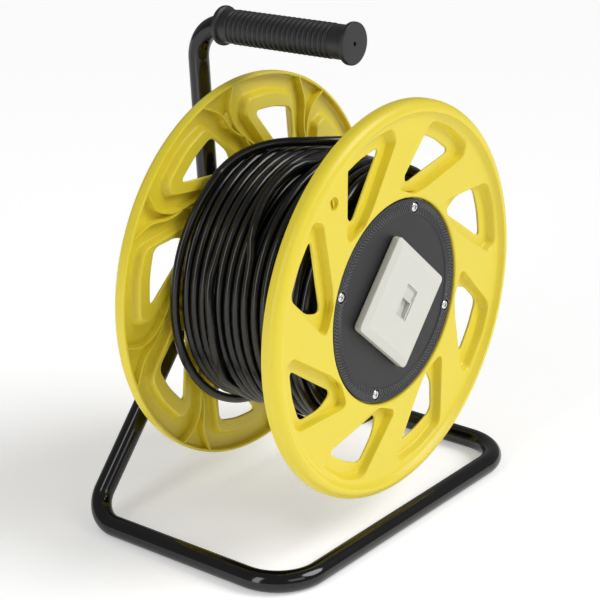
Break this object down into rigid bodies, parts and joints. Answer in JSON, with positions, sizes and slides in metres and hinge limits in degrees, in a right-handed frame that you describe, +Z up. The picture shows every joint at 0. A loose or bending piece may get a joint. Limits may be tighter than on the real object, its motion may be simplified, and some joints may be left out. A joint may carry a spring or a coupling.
{
  "type": "cable reel",
  "caption": "Free-standing cable reel: bent-tube stand with hand grip, spoked yellow drum turning on an axle, wound black data cable and a wall-type data outlet in the hub.",
  "frame": {"origin": "on the floor, under the middle of the stand's box", "axes": "+Z up, -Y towards the outlet side, reel axis along Y, +X to the right seen from the outlet side"},
  "size_m": [0.3108, 0.2141, 0.3816],
  "materials": {
    "black_paint": "glossy black powder coat on steel tube",
    "rubber": "soft black ribbed rubber",
    "steel": "bright zinc-plated steel",
    "screw_steel": "bright plated screw",
    "yellow_plastic": "moulded yellow plastic, satin gloss",
    "black_plastic": "moulded black plastic",
    "panel_plastic": "matt dark plastic with a knurled band",
    "nylon": "white nylon bearing bush",
    "white_plastic": "warm white satin plastic",
    "grommet_rubber": "black rubber",
    "cable_sheath": "smooth black cable sheath",
    "boot_plastic": "soft black boot",
    "clear_plastic": "clear moulded plastic"
  },
  "bodies": {
    "stand": {"base_frame": "black_paint", "handle_post": "black_paint", "hub_bracket": "black_paint", "hand_grip": "rubber", "axle": "steel", "axle_washer": "steel", "axle_nut": "steel", "front_washer": "steel", "lock_nut": "steel", "rear_washer": "steel", "spacer_sleeve": "steel"},
    "drum": {"mounting_frame": "steel", "panel_screw_1": "screw_steel", "panel_screw_2": "screw_steel", "panel_screw_3": "screw_steel", "panel_screw_4": "screw_steel", "rear_screw_1": "screw_steel", "rear_screw_2": "screw_steel", "rear_screw_3": "screw_steel", "rear_screw_4": "screw_steel", "front_flange": "yellow_plastic", "rear_flange": "yellow_plastic", "drum_core": "black_plastic", "rear_panel": "black_plastic", "outlet_box": "black_plastic", "outlet_panel": "panel_plastic", "front_bush": "nylon", "rear_bush": "nylon", "outlet_cover": "white_plastic", "jack_housing": "white_plastic", "cable_grommet": "grommet_rubber", "inner_lead": "cable_sheath", "cable_winding": "cable_sheath", "cable_tail": "cable_sheath", "plug_boot": "boot_plastic", "plug_body": "clear_plastic"},
    "shutter": {"dust_shutter": "white_plastic"}
  },
  "joints": [
    {"name": "drum_spin", "type": "hinge", "parent": "stand", "child": "drum", "pos_m": [0, -0.0166, 0.1791], "axis": [0, 1, 0], "continuous": true},
    {"name": "shutter_slide", "type": "slide", "parent": "drum", "child": "shutter", "axis": [0.6481, 0, 0.7615], "range_m": [0, 0.0094], "stiffness_N_per_m": 30, "springref_m": -0.004}
  ]
}
